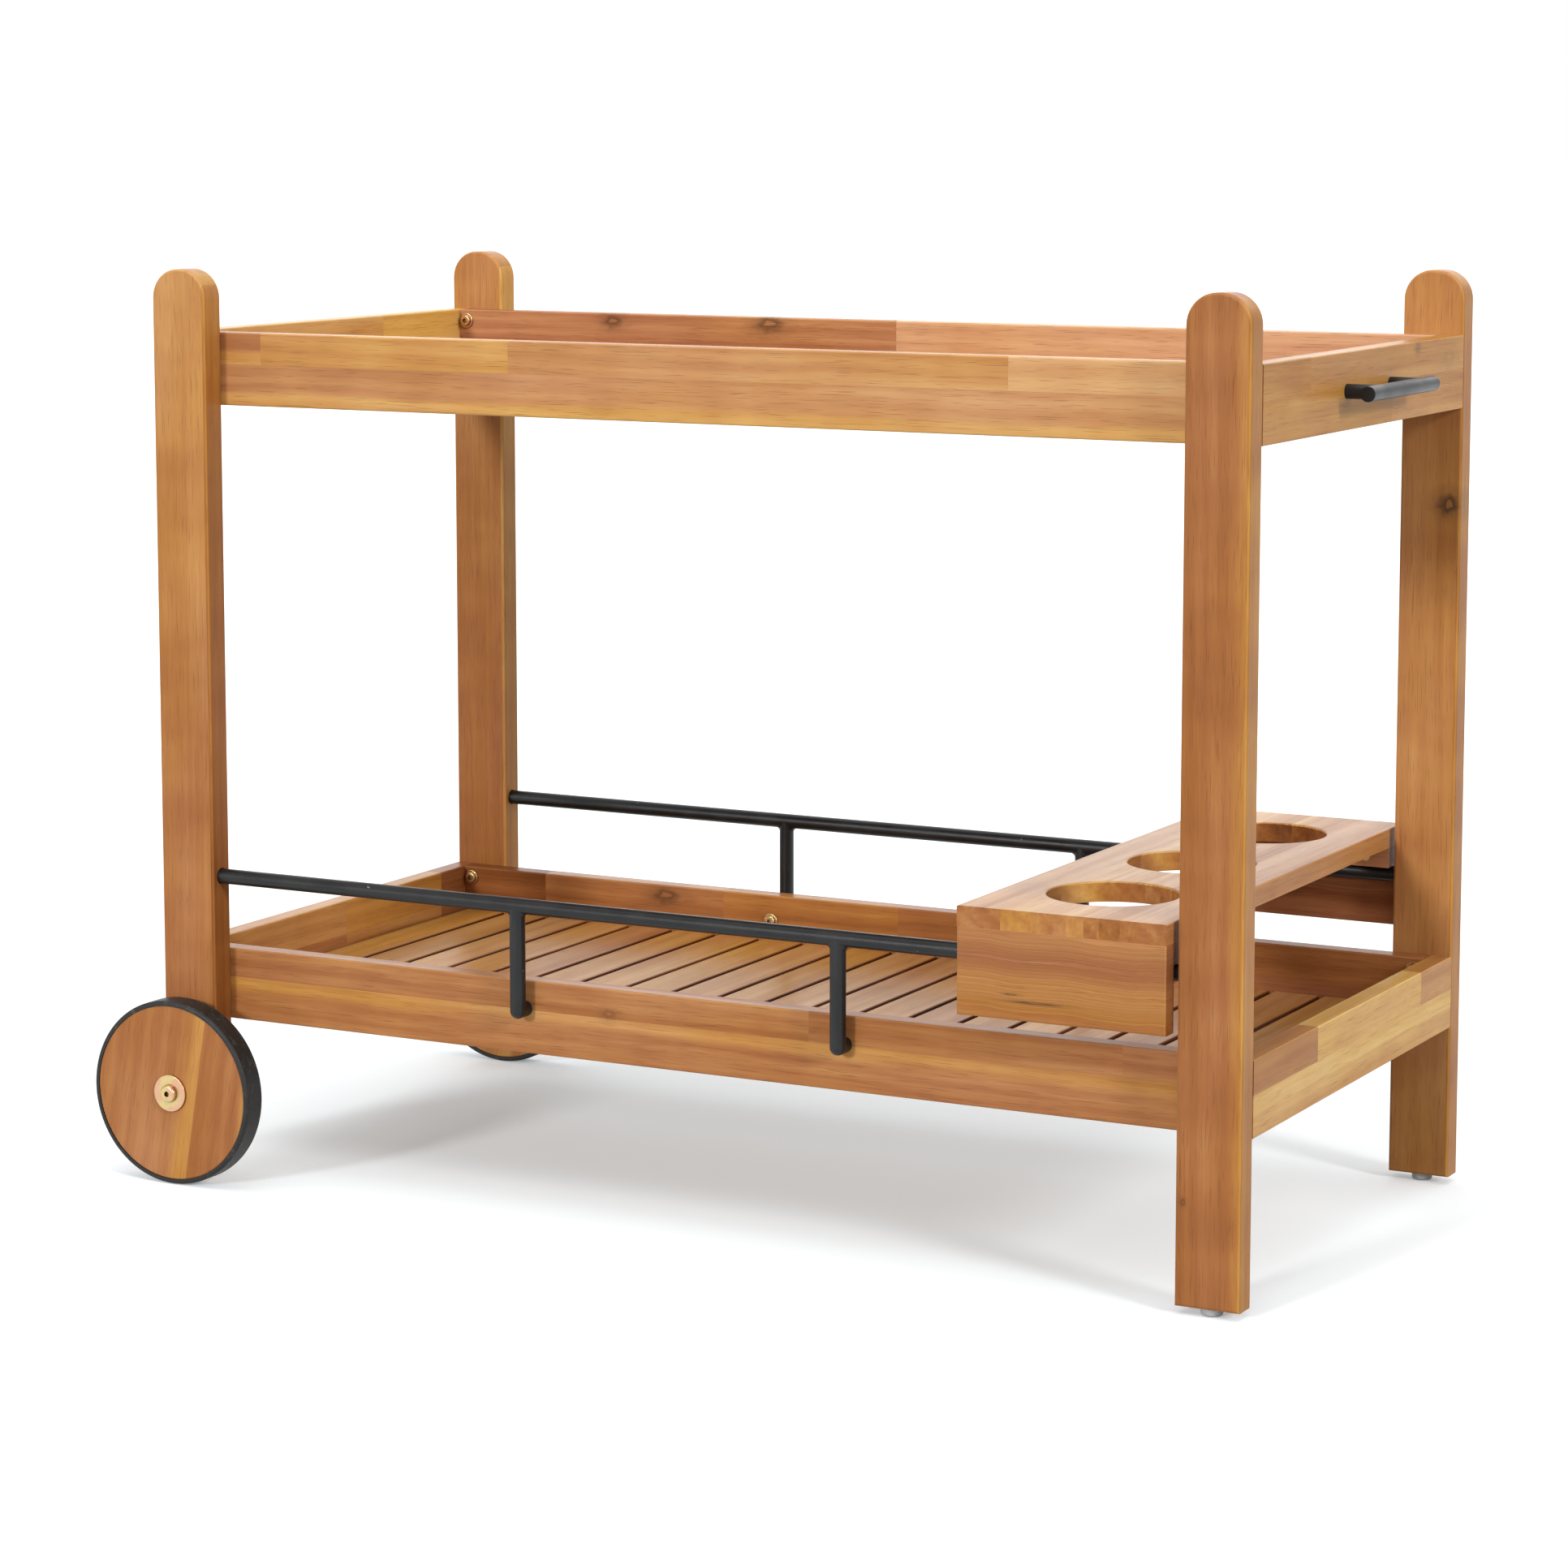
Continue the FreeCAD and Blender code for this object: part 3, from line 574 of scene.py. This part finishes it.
def board_values(tree, name, place, along_share, across_share, draw):
    """Tone, seed and rose all over a board, from its rows of staves, its strips or its slats."""
    wobble = noise(tree, place, sap_wobble_scales)
    wobble = calc(tree, "MULTIPLY_ADD", wobble, sap_wobble_share, -sap_wobble_share / 2)
    strips = side_by_side(name, draw)
    if strips:
        return row_values(tree, name, across_share, strips, across_share, wobble, draw)
    rows = stave_row_shares.get(name) or plain_rows(draw)
    ends = [start for start, staves in rows[1:]] + [1.0]
    wander = calc(tree, "SUBTRACT", noise(tree, place, row_wander_scales), noise_middle)
    wander = calc(tree, "MULTIPLY_ADD", wander, named_kind(row_wander_shares, name, 0.0), across_share)
    edge = named_kind(row_edge_shares, name, plain_row_edge_share)
    values = None
    for (start, staves), end in zip(rows, ends):
        row_share = calc(tree, "DIVIDE", calc(tree, "SUBTRACT", across_share, start), end - start)
        row = row_values(tree, name, along_share, staves, row_share, wobble, draw)
        if values is None:
            values = row
            continue
        above = remapped(tree, wander, start - edge / 2, start + edge / 2)
        values = [blended(tree, above, low, high) for low, high in zip(values, row)]
    return values


def knottiness(tree, name, place):
    """How much of a knot's dark wood lies at a place on a board."""
    along, across, _ = board_axes(name)
    low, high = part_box(name)
    length = high[along] - low[along]
    width = high[across] - low[across]
    total = 0.0
    for along_share, across_share, radius_share, stretch, darkness in knot_shares[name]:
        knot = (low[along] + along_share * length, low[across] + across_share * width, 0.0)
        away = add(tree, "VectorMath", {0: place, 1: knot}, operation="SUBTRACT").outputs[0]
        radius = radius_share * width
        radii = scaled(tree, away, (1.0 / (radius * stretch), 1.0 / radius, 0.0))
        ragged = noise(tree, radii, knot_noise_scales, **knot_noise)
        ragged = calc(tree, "MULTIPLY_ADD", ragged, knot_raggedness, -knot_raggedness / 2)
        distance = add(tree, "VectorMath", {0: radii}, operation="LENGTH").outputs[1]
        distance = calc(tree, "ADD", distance, ragged)
        stops = [(start, (depth * darkness,) * 3 + (1.0,)) for start, depth in knot_depth_shares.items()]
        depth = ramp(tree, calc(tree, "DIVIDE", distance, knot_reach), stops)["Color"]
        total = calc(tree, "ADD", total, depth)
    return total


def facing(tree):
    """How far the surface faces along each axis, either way."""
    normal = add(tree, "VectorMath", {0: add(tree, "TexCoord").outputs["Normal"]}, operation="ABSOLUTE")
    return add(tree, "SeparateXYZ", {0: normal.outputs[0]}).outputs


def end_face(tree, name):
    """1 on the faces that cut across the grain, and 0 on the others."""
    return remapped(tree, facing(tree)[board_axes(name)[0]], *end_facing_shares)


def arris(tree):
    """1 on rounded edges and curved crowns, where the oil is rubbed thin and a painted highlight lies, and
    0 on the board's flat faces.
    """
    along_x, along_y, along_z = facing(tree)
    squarest = calc(tree, "MAXIMUM", calc(tree, "MAXIMUM", along_x, along_y), along_z)
    return remapped(tree, squarest, *arris_facing_shares)


def bore(tree, along_share, across_share):
    """1 on upright faces away from a board's outer edges, which are the walls of its holes, where end grain
    and painted shade darken the tone.
    """
    upright = remapped(tree, facing(tree)[2], *bore_facing_shares)
    for share in (along_share, across_share):
        from_middle = calc(tree, "ABSOLUTE", calc(tree, "SUBTRACT", share, board_middle_share))
        upright = calc(tree, "MULTIPLY", upright, calc(tree, "LESS_THAN", from_middle, bore_reach_share))
    return upright


def shifted_tone(tree, name, tone, along_share, across_share):
    """A board's tone, shifted at edges (wear and a painted highlight), end grain, holes (end grain and
    painted shade) and slat sides (painted shade), and along its slope.
    """
    # Rounded edges paler: wear, and a painted highlight
    shifts = [(arris(tree), edge_wear_and_highlight_shift)]
    if name in tone_slopes:
        shifts.append((calc(tree, "SUBTRACT", along_share, slope_level_share), tone_slopes[name]))
    if not name.startswith("post"):
        shifts.append((end_face(tree, name), end_grain_shift))
    # Hole walls darker: end grain, and painted shade that is deeper further along the board
    if name == "rack_board":
        bore_grain_and_shade_shift = remapped(tree, along_share, 0.0, 1.0, *bore_grain_and_shade_shifts)
        shifts.append((bore(tree, along_share, across_share), bore_grain_and_shade_shift))
    # Painted shade: slat sides in the gaps are darkened
    if name.endswith("slats"):
        shifts.append((facing(tree)[board_axes(name)[1]], slat_side_shade_shift))
    for amount, shift in shifts:
        tone = calc(tree, "MULTIPLY_ADD", amount, shift, tone)
    return tone


def acacia(name, grain, draw):
    """Oiled acacia for one board."""
    def build(tree, shader):
        place, along_share, across_share = board_place(tree, name)
        tone, seed, rose = board_values(tree, name, place, along_share, across_share, draw)
        tone = shifted_tone(tree, name, tone, along_share, across_share)
        given = {"Place": place, "Tone": tone, "Seed": seed, "Rose": rose}
        given.update(named_kind(grain_strengths, name, plain_grain_strengths))
        stave = add(tree, "Group", given, node_tree=grain).outputs
        colour = stave["Color"]
        if name in knot_shares:
            colour = mixed(tree, knottiness(tree, name, place), colour, linear(acacia_knot))
        feed(tree, shader, {
            "Base Color": colour,
            "Roughness": stave["Roughness"],
            "IOR": oil_ior,
            "Coat Weight": named_kind(oil_sheen_shares, name, plain_oil_sheen_share),
            "Coat Roughness": oil_roughness,
        })
        raise_surface(tree, shader, stave["Height"], pore_depth)
    return finished("acacia_" + name, build)


# Metal, rubber and plastic

def charcoal_coat():
    """Charcoal powder coat with a fine orange peel and a few pale chips."""
    def build(tree, shader):
        place = object_place(tree)
        cloud = noise(tree, place, coat_cloud_scales, **coat_cloud_noise)
        clouded = remapped(tree, cloud, *coat_cloud_range)
        colour = mixed(tree, clouded, linear(charcoal_dark), linear(charcoal_light))
        chips = remapped(tree, noise(tree, place, coat_chip_scales, **coat_chip_noise), *coat_chip_range)
        feed(tree, shader, {
            "Base Color": mixed(tree, chips, colour, linear(charcoal_chip)),
            "Roughness": remapped(tree, cloud, *coat_cloud_range, *coat_roughness),
            "Specular IOR Level": coat_specular,
        })
        raise_surface(tree, shader, noise(tree, place, coat_peel_scales), coat_peel_depth)
    return finished("charcoal_coat", build)


def yellow_zinc():
    """Yellow passivated zinc with rose and green tints, and painted shade that darkens its recesses and
    seats.
    """
    def build(tree, shader):
        place = object_place(tree)
        tint = tinted(tree, noise(tree, place, zinc_cloud_scales), zinc_tints)
        reach = {"Distance": zinc_shade_reach}
        # Painted shade: ambient occlusion darkens the zinc in its recesses and where it seats
        openness = add(tree, "AmbientOcclusion", reach, samples=zinc_shade_samples).outputs["AO"]
        unshaded = remapped(tree, openness, *zinc_open_shares)
        scratch = noise(tree, place, zinc_scratch_scales)
        feed(tree, shader, {
            "Base Color": mixed(tree, unshaded, linear(zinc_recess_shade), tint),
            "Metallic": 1.0,
            "Roughness": remapped(tree, scratch, *zinc_scratch_range, *zinc_roughness),
        })
        raise_surface(tree, shader, scratch, zinc_scratch_depth)
    return finished("yellow_zinc", build)


def tyre_rubber():
    """Black satin rubber, scuffed in soft patches."""
    def build(tree, shader):
        place = object_place(tree)
        scuff = noise(tree, place, tyre_scuff_scales, **tyre_scuff_noise)
        scuffed = remapped(tree, scuff, *tyre_scuff_range)
        feed(tree, shader, {
            "Base Color": mixed(tree, scuffed, linear(tyre_dark), linear(tyre_scuffed)),
            "Roughness": remapped(tree, scuff, *tyre_rough_range, *tyre_roughness),
            "Specular IOR Level": tyre_specular,
        })
        skin = noise(tree, place, tyre_skin_scales, **tyre_skin_noise)
        raise_surface(tree, shader, skin, tyre_skin_depth)
    return finished("tyre_rubber", build)


def moulded(name, dark, pale, roughness):
    """A moulded plastic or turned dowel with soft mottling."""
    def build(tree, shader):
        place = object_place(tree)
        cloud = noise(tree, place, moulded_cloud_scales, **moulded_cloud_noise)
        roughest = roughness + moulded_roughness_spread
        feed(tree, shader, {
            "Base Color": mixed(tree, cloud, linear(dark), linear(pale)),
            "Roughness": remapped(tree, cloud, *moulded_cloud_range, roughness, roughest),
        })
        raise_surface(tree, shader, noise(tree, place, moulded_skin_scales), moulded_skin_depth)
    return finished(name, build)


def plain_finishes():
    """The finishes that all pieces of a slot share."""
    return {
        "charcoal_coat": charcoal_coat(),
        "yellow_zinc": yellow_zinc(),
        "tyre_rubber": tyre_rubber(),
        "grey_plastic": moulded("grey_plastic", plastic_grey, plastic_pale, plastic_roughness),
        "nylon": moulded("nylon", nylon_cream, nylon_white, nylon_roughness),
        "dowel_wood": moulded("dowel_wood", dowel_dark, dowel_pale, dowel_roughness),
    }


def dress_nodes(finishes):
    """Give every CAD node the finish of its slot, and every acacia board its own staves."""
    slot_of = {part["node"]: part["material_slot"] for part in frame["record"]["subparts"]}
    grain = acacia_group()
    draw = random.Random(grain_seed)
    for name in sorted(nodes):
        finish = finishes.get(slot_of[name]) or acacia(name, grain, draw)
        slots = nodes[name].data.materials
        slots.clear()
        slots.append(finish)


# Small pieces

def piece(name, vertices, faces, finish):
    """A mesh piece of the frame, in the finish of a slot."""
    mesh = bpy.data.meshes.new(name)
    mesh.from_pydata(vertices, [], faces)
    shape = bmesh.new()
    shape.from_mesh(mesh)
    bmesh.ops.recalc_face_normals(shape, faces=shape.faces)
    shape.to_mesh(mesh)
    shape.free()
    mesh.materials.append(finish)
    item = bpy.data.objects.new(name, mesh)
    bpy.context.collection.objects.link(item)
    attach(item, "cart_frame")


def bands(first, rings, count):
    """Faces between closed rings of so many points each, counted from a first vertex."""
    faces = []
    for ring in range(rings - 1):
        low = first + ring * count
        high = low + count
        for step in range(count):
            beside = (step + 1) % count
            faces.append((low + step, low + beside, high + beside, high + step))
    return faces


def loft(rings, first):
    """Faces along closed rings of points, with both ends capped."""
    count = len(rings[0])
    last = first + (len(rings) - 1) * count
    caps = [tuple(range(start, start + count)) for start in (first, last)]
    return bands(first, len(rings), count) + caps


def weld_rings_beside(centre, radius, side, draw):
    """Sections of a concave weld on one side of a leg, along the saddle where it meets its bar."""
    arc = [math.pi / 2 * step / weld_arc_steps for step in range(weld_arc_steps + 1)]
    rings = []
    for turn in range(weld_rings):
        angle = weld_half_turn * (2 * turn / (weld_rings - 1) - 1)
        saddle = radius * math.cos(angle)
        ripple = draw.uniform(-weld_ripple_share, weld_ripple_share)
        reach = weld_reach_share * saddle * (1.0 + ripple)
        section = [(saddle - weld_sink, weld_sink - saddle), (saddle - weld_sink, -saddle - reach)]
        section += [(saddle + reach * (1 - math.cos(a)), -saddle - reach * (1 - math.sin(a))) for a in arc]
        section += [(saddle + reach, weld_sink - saddle)]
        rings.append([centre + Vector((side * x, radius * math.sin(angle), z)) for x, z in section])
    return rings


def make_welds(finish):
    """Weld fillets where each leg of the guard rails meets its bar."""
    draw = random.Random(weld_seed)
    vertices, faces = [], []
    for row in ("front", "back"):
        bar_low, bar_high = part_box("guard_bar_" + row)
        for end in ("left", "right"):
            leg_low, leg_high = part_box("guard_leg_" + row + "_" + end)
            centre = (bar_low + bar_high) / 2
            centre.x = (leg_low.x + leg_high.x) / 2
            for side in (-1, 1):
                rings = weld_rings_beside(centre, (bar_high.z - bar_low.z) / 2, side, draw)
                faces += loft(rings, len(vertices))
                vertices += [point for ring in rings for point in ring]
    piece("guard_rail_welds", vertices, faces, finish)


def screw_points(seat, turn, arm):
    """Points of a screw head: the rings of its profile, then its recess's mouth and floor."""
    points = []
    for radius, height in screw_profile:
        for step in range(screw_turn_steps):
            # The rings start a step early, so that their points lie beside the recess's corners
            angle = turn + 2 * math.pi * (step - 1) / screw_turn_steps
            points.append(seat + Vector((radius * math.cos(angle), radius * math.sin(angle), height)))
    mouth = screw_profile[-1][1]
    for height in (mouth, mouth + screw_cross_depth):
        for index in range(screw_cross_arms):
            spin = Matrix.Rotation(turn + 2 * math.pi * index / screw_cross_arms, 3, "Z")
            points += [seat + spin @ Vector((x, y, height)) for x, y in arm]
    return points


def screw_head(seat, turn, first):
    """Vertices and faces of a domed screw head that looks down, with a cross recess."""
    arm = (
        (screw_cross_reach, -screw_cross_half),
        (screw_cross_reach, screw_cross_half),
        (screw_cross_half, screw_cross_half),
    )
    count = screw_turn_steps
    rim = first + (len(screw_profile) - 1) * count
    cross = rim + count
    corners = len(arm) * screw_cross_arms
    steps = count // corners
    faces = bands(first, len(screw_profile), count)
    for corner in range(corners):
        beside = (corner + 1) % corners
        span = [rim + (steps * corner + step) % count for step in range(steps + 1)]
        faces.append((*span, cross + beside, cross + corner))
        faces.append((cross + corner, cross + beside, cross + corners + beside, cross + corners + corner))
    faces.append(tuple(range(cross + corners, cross + 2 * corners)))
    return screw_points(seat, turn, arm), faces


def make_slat_screws(finish):
    """A screw head under each slat on both ledgers and the batten of each tray."""
    draw = random.Random(screw_seed)
    vertices, faces = [], []
    for tray in ("upper", "lower"):
        low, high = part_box(tray + "_slats")
        pitch = (high.x - low.x + slat_gap) / slats_per_tray
        for bearer in ("_ledger_front", "_batten", "_ledger_back"):
            bearer_low, bearer_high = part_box(tray + bearer)
            middle = (bearer_low.y + bearer_high.y) / 2
            for index in range(slats_per_tray):
                x = low.x - slat_gap / 2 + (index + 0.5) * pitch
                seat = Vector((x, middle, bearer_low.z))
                head = screw_head(seat, draw.uniform(0, math.pi), len(vertices))
                vertices += head[0]
                faces += head[1]
    piece("slat_screws", vertices, faces, finish)


# Studio

def white_for_camera(tree, plain):
    """A strength of 1 where the camera, or a reflection, looks at it, and a plain one elsewhere."""
    path = add(tree, "LightPath").outputs
    seen = calc(tree, "MAXIMUM", path["Is Camera Ray"], path["Is Glossy Ray"])
    seen = calc(tree, "MAXIMUM", seen, path["Is Transmission Ray"])
    return blended(tree, seen, plain, 1.0)


def make_floor():
    """A pale floor that glows just enough to be white where no shadow lies."""
    signs = ((-1, -1), (1, -1), (1, 1), (-1, 1))
    corners = [(x * floor_reach, y * floor_reach, -floor_drop) for x, y in signs]
    mesh = bpy.data.meshes.new("floor")
    mesh.from_pydata(corners, [], [(0, 1, 2, 3)])
    floor = bpy.data.objects.new("floor", mesh)
    bpy.context.collection.objects.link(floor)

    def build(tree, shader):
        seen = white_for_camera(tree, 0.0)
        feed(tree, shader, {
            "Base Color": mixed(tree, seen, floor_bounce_colour, floor_seen_colour),
            "Roughness": floor_roughness,
            "Specular IOR Level": 0.0,
            "Emission Color": studio_white,
            "Emission Strength": calc(tree, "MULTIPLY", seen, floor_glow),
        })
    mesh.materials.append(finished("floor", build))


def make_sky():
    """White surroundings."""
    world = bpy.data.worlds.new("studio")
    world.use_nodes = True
    tree = world.node_tree
    seen = white_for_camera(tree, sky_strength)
    feed(tree, tree.nodes["Background"], {"Color": studio_white, "Strength": seen})
    bpy.context.scene.world = world


def make_lamps():
    """Soft suns: the key from the front left, fill from the right, and wide ones from above and behind."""
    for name, sun in suns.items():
        data = bpy.data.lights.new(name, "SUN")
        data.angle = sun["spread"]
        data.energy = sun["strength"]
        lamp = bpy.data.objects.new(name, data)
        lamp.rotation_euler = Vector(sun["towards"]).to_track_quat("-Z", "Y").to_euler()
        bpy.context.collection.objects.link(lamp)


def make_camera():
    """The photograph's viewpoint."""
    data = bpy.data.cameras.new("camera")
    data.lens = camera_lens_mm
    data.sensor_width = camera_sensor_mm
    data.shift_y = camera_shift_share
    data.clip_end = camera_far
    camera = bpy.data.objects.new("camera", data)
    camera.location = camera_place
    camera.rotation_euler = (camera_pitch, 0.0, camera_yaw)
    bpy.context.collection.objects.link(camera)
    bpy.context.scene.camera = camera


finishes = plain_finishes()
dress_nodes(finishes)
make_welds(finishes["charcoal_coat"])
make_slat_screws(finishes["yellow_zinc"])
make_floor()
make_sky()
make_lamps()
make_camera()
bpy.context.scene.view_settings.view_transform = "Standard"
